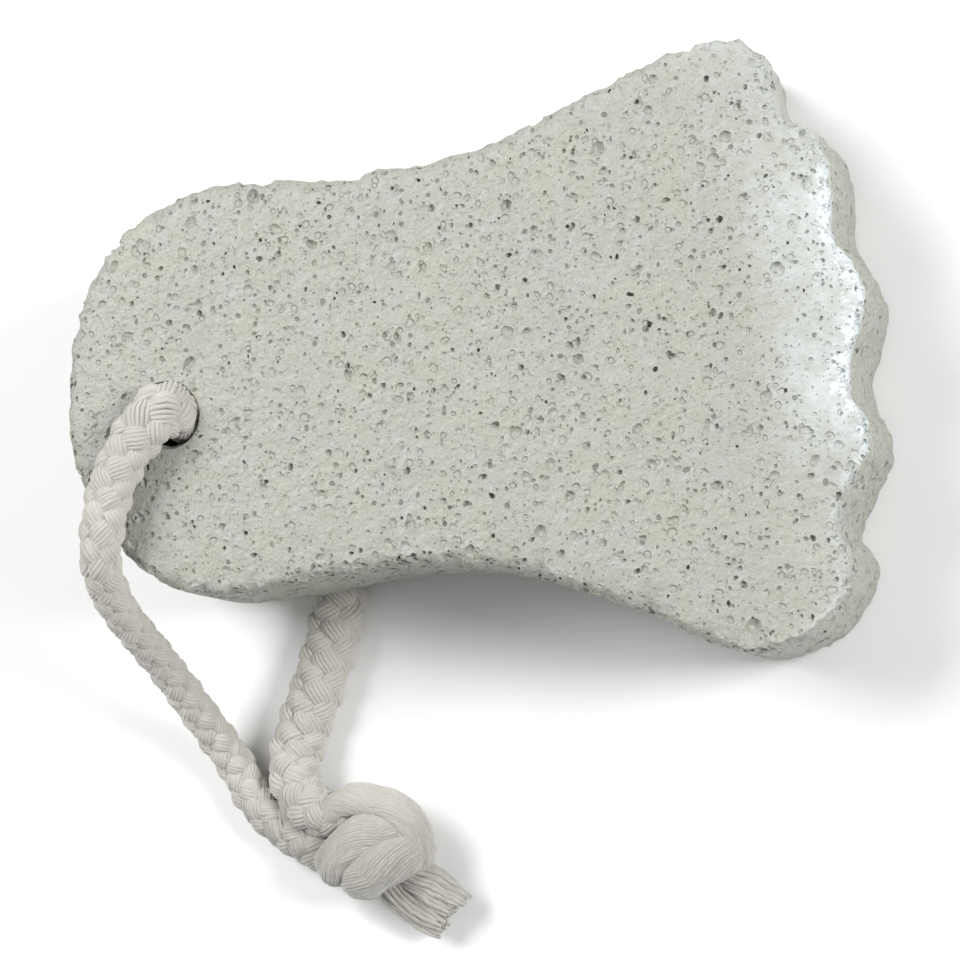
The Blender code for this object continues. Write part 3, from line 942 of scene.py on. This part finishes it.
def bubbles_on(recipe, stone, size, lowest, density, detail, seed):
    """Lumpy bubbles of one kind, scattered over the faces, to be cut out of them."""
    scatter = {"Mesh": stone, "Density": density * recipe.kept("opened"), "Seed": seed}
    points = recipe.node("GeometryNodeDistributePointsOnFaces", None, scatter)
    normal = points.out("Normal")
    draw = recipe.node("FunctionNodeRandomValue", {"data_type": "FLOAT"}, {"Seed": seed + 1})
    deep = recipe.node("FunctionNodeRandomValue", {"data_type": "FLOAT"}, {"Seed": seed + 2})
    radius = size * (1 - BUBBLE_SPREAD + 2 * BUBBLE_SPREAD * draw * draw)
    height = radius * (HIGHEST_BUBBLE - (HIGHEST_BUBBLE - lowest) * deep * deep)
    points = recipe.keep(points, "radius", radius)
    lift = recipe.scaled(normal, height)
    points = recipe.keep(points, "lift", lift, data_type="FLOAT_VECTOR")
    moved = {"Geometry": points, "Offset": recipe.kept("lift", "FLOAT_VECTOR")}
    points = recipe.node("GeometryNodeSetPosition", None, moved)
    stretch = {0: LEAST_STRETCH, 1: MOST_STRETCH, "Seed": seed + 3}
    stretch = recipe.node("FunctionNodeRandomValue", {"data_type": "FLOAT_VECTOR"}, stretch)
    spin = {0: UNTURNED, 1: FULL_TURNS, "Seed": seed + 4}
    spin = recipe.node("FunctionNodeRandomValue", {"data_type": "FLOAT_VECTOR"}, spin)
    ball = recipe.node("GeometryNodeMeshIcoSphere", None, {"Radius": 1.0, "Subdivisions": detail})
    here = recipe.vector("ADD", recipe.node("GeometryNodeInputPosition"), (0.0, 0.0, seed))
    lumps = {"Vector": here, "Scale": BUBBLE_LUMP_SCALE}
    lumps = recipe.node("ShaderNodeTexNoise", None, lumps).out("Color")
    lumps = recipe.scaled(recipe.vector("SUBTRACT", lumps, (0.5, 0.5, 0.5)), BUBBLE_LUMPS)
    ball = recipe.node("GeometryNodeSetPosition", None, {"Geometry": ball, "Offset": lumps})
    scale = recipe.scaled(stretch, recipe.kept("radius"))
    set_in = {"Points": points, "Instance": ball, "Rotation": spin, "Scale": scale}
    return recipe.node("GeometryNodeInstanceOnPoints", None, set_in)


def drill_for(recipe, place):
    """A drill as long as the hole, a little rough, that widens at the worn mouths."""
    top = place @ (Vector((*HOLE_PLACE_MM, THICKNESS_MM + HOLE_OVERSHOOT_MM)) * MM)
    bottom = place @ (Vector((*HOLE_PLACE_MM, -HOLE_OVERSHOOT_MM)) * MM)
    bore = recipe.node("GeometryNodeCurvePrimitiveLine", None, {"Start": bottom, "End": top})
    inputs = {"Curve": bore, "Count": HOLE_RINGS}
    bore = recipe.node("GeometryNodeResampleCurve", {"mode": "COUNT"}, inputs)
    mouth = recipe.sum("ABSOLUTE", recipe.node("GeometryNodeSplineParameter") * 2 - 1)
    flare = recipe.sum("POWER", recipe.mapped(mouth, MOUTH_FROM, MOUTH_FULL_AT), MOUTH_CURVE)
    radius = recipe.input("Hole Radius") + recipe.input("Hole Wear") * flare
    inputs = {"Resolution": HOLE_SIDES, "Radius": 1.0}
    ring = recipe.node("GeometryNodeCurvePrimitiveCircle", None, inputs)
    sweep = {"Curve": bore, "Profile Curve": ring, "Scale": radius, "Fill Caps": True}
    drill = recipe.node("GeometryNodeCurveToMesh", None, sweep)
    here = recipe.node("GeometryNodeInputPosition")
    grain = {"Vector": here, "Scale": HOLE_GRAIN_PER_METRE}
    rough = recipe.node("ShaderNodeTexNoise", None, grain)
    rough = (rough - 0.5) * recipe.input("Hole Roughness")
    push = recipe.scaled(recipe.node("GeometryNodeInputNormal"), rough)
    return recipe.node("GeometryNodeSetPosition", None, {"Geometry": drill, "Offset": push})


def pumice_recipe(place):
    """Drills the hole through the block, then opens its bubbles."""
    recipe = MeshRecipe("pumice", PUMICE)
    cut = {"operation": "DIFFERENCE", "solver": "MANIFOLD"}
    inputs = {"Mesh 1": recipe.input("Geometry"), "Mesh 2": drill_for(recipe, place)}
    drilled = recipe.node("GeometryNodeMeshBoolean", cut, inputs)
    bubbles = []
    for kind, detail, seeds in BUBBLE_KINDS:
        size = recipe.input(kind + " Size")
        lowest = recipe.input(kind + " Lowest")
        density = recipe.input(kind + " Density") / len(seeds)
        for seed in seeds:
            bubbles.append(bubbles_on(recipe, drilled, size, lowest, density, detail, seed))
    stone = recipe.node("GeometryNodeMeshBoolean", cut, {"Mesh 1": drilled, "Mesh 2": bubbles})
    bend = recipe.node("GeometryNodeInputMeshEdgeAngle") + stone.out("Intersecting Edges")
    for domain, smooth in (("FACE", True), ("EDGE", recipe.sum("LESS_THAN", bend, SHARP_BEND))):
        inputs = {"Geometry": stone, "Shade Smooth": smooth}
        stone = recipe.node("GeometryNodeSetShadeSmooth", {"domain": domain}, inputs)
    recipe.end(stone)
    return recipe


STONE_GREY = (0.362, 0.364, 0.320, 1.0)
STONE_GREENISH = (0.370, 0.374, 0.314, 1.0)
STONE_BLUISH = (0.378, 0.386, 0.360, 1.0)
# Painted highlight: the bluish white of the glare along the toes' rim.
PAINTED_TOE_HIGHLIGHT = (0.750, 0.815, 0.845, 1.0)
# Painted shade: the colour of the shadow inside the pores.
PAINTED_PORE_SHADE = (0.12, 0.12, 0.10, 1.0)
FINE_PORES_MM = 1.05
FINER_PORES_MM = 0.45
DISHES_MM = 1.4
RELIEF_MM = 0.12
BENT_BY_MM = 0.6
RAISED_RIM_FROM_MM = 2.2
RAISED_RIM_FULL_AT_MM = 0.8

# Where a bluish white highlight is painted along the toes' rim: along the foot, upwards and across.
TOE_WAY = (0.972, 0.236, 0.0)
HIGHLIGHT_FROM_MM = 30.0
HIGHLIGHT_MOST_AT_MM = 38.0
HIGHLIGHT_HEIGHT_FROM_MM = 19.5
HIGHLIGHT_HEIGHT_MOST_AT_MM = 21.0
HIGHLIGHT_MIDDLE_Y_MM = 4.0
HIGHLIGHT_THICK_WITHIN_MM = 11.0
HIGHLIGHT_THIN_PAST_MM = 21.0
GLARE_EDGE_RIDGES_MM = 6.0
GLARE_EDGE_GRAIN_MM = 5.0
GLARE_BAND_FROM_MM = 2.2
GLARE_BAND_FULL_AT_MM = 1.3
HALO_FROM_MM = 13.0
HALO_FULL_AT_MM = 3.0


def pores(paint, place, cell, largest, share):
    """Round pores of random size, one at most in each cell: 1 inside, 0 outside."""
    shape = {"Vector": place, "Scale": 1.0 / cell}
    spots = paint.node("ShaderNodeTexVoronoi", {"feature": "F1"}, shape)
    draw = paint.node("ShaderNodeSeparateColor", None, {0: spots.out("Color")})
    size = paint.mapped(draw, 1.0 - share, 1.0, 0.0, largest)
    return paint.mapped(spots, size, size * 0.6)


def pumice_finish():
    """Pale grey-green pumice with fine pores and faint stains, painted shade in the pores and a painted
    highlight along the toes' rim.
    """
    material = bpy.data.materials.new("pale_pumice")
    material.use_nodes = True
    material.node_tree.nodes.clear()
    paint = Recipe(material.node_tree)
    place = paint.node("ShaderNodeTexCoord").out("Object")
    bent = paint.node("ShaderNodeTexNoise", None, {"Vector": place, "Scale": 900.0, "Detail": 0.0})
    bent = paint.vector("SUBTRACT", bent.out("Color"), (0.5, 0.5, 0.5))
    bent = paint.vector("ADD", place, paint.scaled(bent, BENT_BY_MM * MM))

    clouds = {"Vector": place, "Scale": 130.0, "Detail": 2.0, "Roughness": 0.6}
    clouds = paint.node("ShaderNodeTexNoise", None, clouds)
    stains = {"Vector": place, "Scale": 480.0, "Detail": 2.0, "Roughness": 0.6}
    stains = paint.node("ShaderNodeTexNoise", None, stains)
    colour = paint.blend(paint.mapped(clouds, 0.40, 0.65), STONE_GREY, STONE_GREENISH)
    colour = paint.blend(paint.mapped(stains, 0.46, 0.70), colour, STONE_BLUISH)

    grain = {"Vector": place, "Scale": 3000.0, "Detail": 1.5, "Roughness": 0.8}
    grain = paint.node("ShaderNodeTexNoise", None, grain)
    ridges = {"Vector": bent, "Scale": 760.0, "Detail": 1.0, "Roughness": 0.6}
    ridges = paint.node("ShaderNodeTexNoise", None, ridges)
    fine = pores(paint, bent, FINE_PORES_MM * MM, 0.34, 0.5)
    finer = pores(paint, bent, FINER_PORES_MM * MM, 0.40, 0.45)
    painted_pore_shade = paint.sum("MAXIMUM", fine, finer * 0.6)
    colour = paint.scaled(colour, 0.74 + 0.52 * grain)

    rim = paint.node("ShaderNodeAttribute", {"attribute_name": "rim"}).out("Fac")
    parts = paint.node("ShaderNodeSeparateXYZ", None, {0: place})
    toes = paint.vector("DOT_PRODUCT", place, TOE_WAY).out("Value")
    toes = paint.mapped(toes, HIGHLIGHT_FROM_MM * MM, HIGHLIGHT_MOST_AT_MM * MM)
    high = paint.mapped(parts.out("Z"), HIGHLIGHT_HEIGHT_FROM_MM * MM, HIGHLIGHT_HEIGHT_MOST_AT_MM * MM)
    middle = paint.sum("ABSOLUTE", parts.out("Y") - HIGHLIGHT_MIDDLE_Y_MM * MM)
    middle = paint.mapped(middle, HIGHLIGHT_THICK_WITHIN_MM * MM, HIGHLIGHT_THIN_PAST_MM * MM, 1.0, 0.22)
    # Painted highlight along the toes' rim: a band with jagged edges at the very edge, and a faint halo
    # further in.
    glare_band = rim + (ridges - 0.5) * GLARE_EDGE_RIDGES_MM * MM + (grain - 0.5) * GLARE_EDGE_GRAIN_MM * MM
    glare_band = paint.mapped(glare_band, GLARE_BAND_FROM_MM * MM, GLARE_BAND_FULL_AT_MM * MM)
    halo = paint.mapped(rim, HALO_FROM_MM * MM, HALO_FULL_AT_MM * MM)
    halo = halo * paint.mapped(stains, 0.35, 0.65, 0.3, 0.55)
    painted_highlight = toes * high * middle * paint.sum("MAXIMUM", glare_band, halo)
    colour = paint.blend(painted_highlight, colour, PAINTED_TOE_HIGHLIGHT)
    # Painted shade: the colour darkens inside the fine pores, as if shadow lay in them.
    colour = paint.blend(painted_pore_shade * 0.7, colour, PAINTED_PORE_SHADE)

    dishes = pores(paint, bent, DISHES_MM * MM, 0.42, 0.8)
    step = paint.mapped(ridges, 0.42, 0.58)
    edge = paint.mapped(rim, RAISED_RIM_FROM_MM * MM, RAISED_RIM_FULL_AT_MM * MM)
    height = step * (0.55 + edge) + grain * (0.7 + edge * 0.8)
    height = height - fine * 1.2 - finer * 0.5 - dishes * 1.7
    bump = {"Height": height, "Strength": 0.95, "Distance": RELIEF_MM * MM}
    normal = paint.node("ShaderNodeBump", None, bump)
    surface = {"Base Color": colour, "Roughness": 0.45, "Normal": normal}
    shader = paint.node("ShaderNodeBsdfPrincipled", None, surface)
    paint.node("ShaderNodeOutputMaterial", None, {"Surface": shader})
    return material


def keep_rim_distance(mesh, place):
    """Stores on each point how far in from the block's outline it lies."""
    plan = even_outline(np.array(OUTLINE_MM), WALL_STEP_MM)
    corners = np.empty(len(mesh.vertices) * 3)
    mesh.vertices.foreach_get("co", corners)
    turn = np.array(place.inverted())
    corners = (corners.reshape(-1, 3) @ turn[:3, :3].T + turn[:3, 3])[:, :2] / MM
    distance = np.full(len(corners), np.inf)
    for spot in plan:
        distance = np.minimum(distance, np.hypot(*(corners - spot).T))
    mesh.attributes.new("rim", "FLOAT", "POINT").data.foreach_set("value", distance * MM)


block_mesh, stone_place = stone_block()
stone = pumice_recipe(stone_place).grow("stone_body", block_mesh, PUMICE, pumice_finish())
keep_rim_distance(stone.data, stone_place)
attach(stone, "root")
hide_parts("pumice_stone")


# ---------------------------------------------------------------- floor and light
# A plain white floor in a white room. One large soft lamp hangs past the
# heel, on the big toe's side, and a smaller one stands past the toes.

FLOOR_REACH = 3.0
FLOOR_WHITE = (0.88, 0.88, 0.88, 1.0)
KEY_PLACE = (-0.74, 0.52, 1.16)
KEY_SIZE = 0.8
KEY_WATTS = 18.6
SIDE_PLACE = (0.75, 0.12, 0.60)
SIDE_SIZE = 0.3
SIDE_WATTS = 6.8
ROOM_WHITE = (1.0, 1.0, 1.0, 1.0)
ROOM_STRENGTH = 0.36

floor_mesh = bpy.data.meshes.new("floor")
floor_corners = [(x * FLOOR_REACH, y * FLOOR_REACH, 0) for x, y in ((-1, -1), (1, -1), (1, 1), (-1, 1))]
floor_mesh.from_pydata(floor_corners, [], [(0, 1, 2, 3)])
floor = bpy.data.objects.new("floor", floor_mesh)
bpy.context.scene.collection.objects.link(floor)
white = bpy.data.materials.new("white_floor")
white.use_nodes = True
white.node_tree.nodes["Principled BSDF"].inputs["Base Color"].default_value = FLOOR_WHITE
floor_mesh.materials.append(white)


def soft_light(name, place, size, power):
    """A square lamp that shines at the origin."""
    data = bpy.data.lights.new(name, "AREA")
    data.size = size
    data.energy = power
    light = bpy.data.objects.new(name, data)
    light.location = place
    light.rotation_mode = "QUATERNION"
    light.rotation_quaternion = Vector(place).to_track_quat("Z", "Y")
    bpy.context.scene.collection.objects.link(light)


soft_light("key", KEY_PLACE, KEY_SIZE, KEY_WATTS)
soft_light("side", SIDE_PLACE, SIDE_SIZE, SIDE_WATTS)
world = bpy.data.worlds.new("world")
world.use_nodes = True
world.node_tree.nodes["Background"].inputs["Color"].default_value = ROOM_WHITE
world.node_tree.nodes["Background"].inputs["Strength"].default_value = ROOM_STRENGTH
bpy.context.scene.world = world
bpy.context.scene.view_settings.view_transform = "Standard"
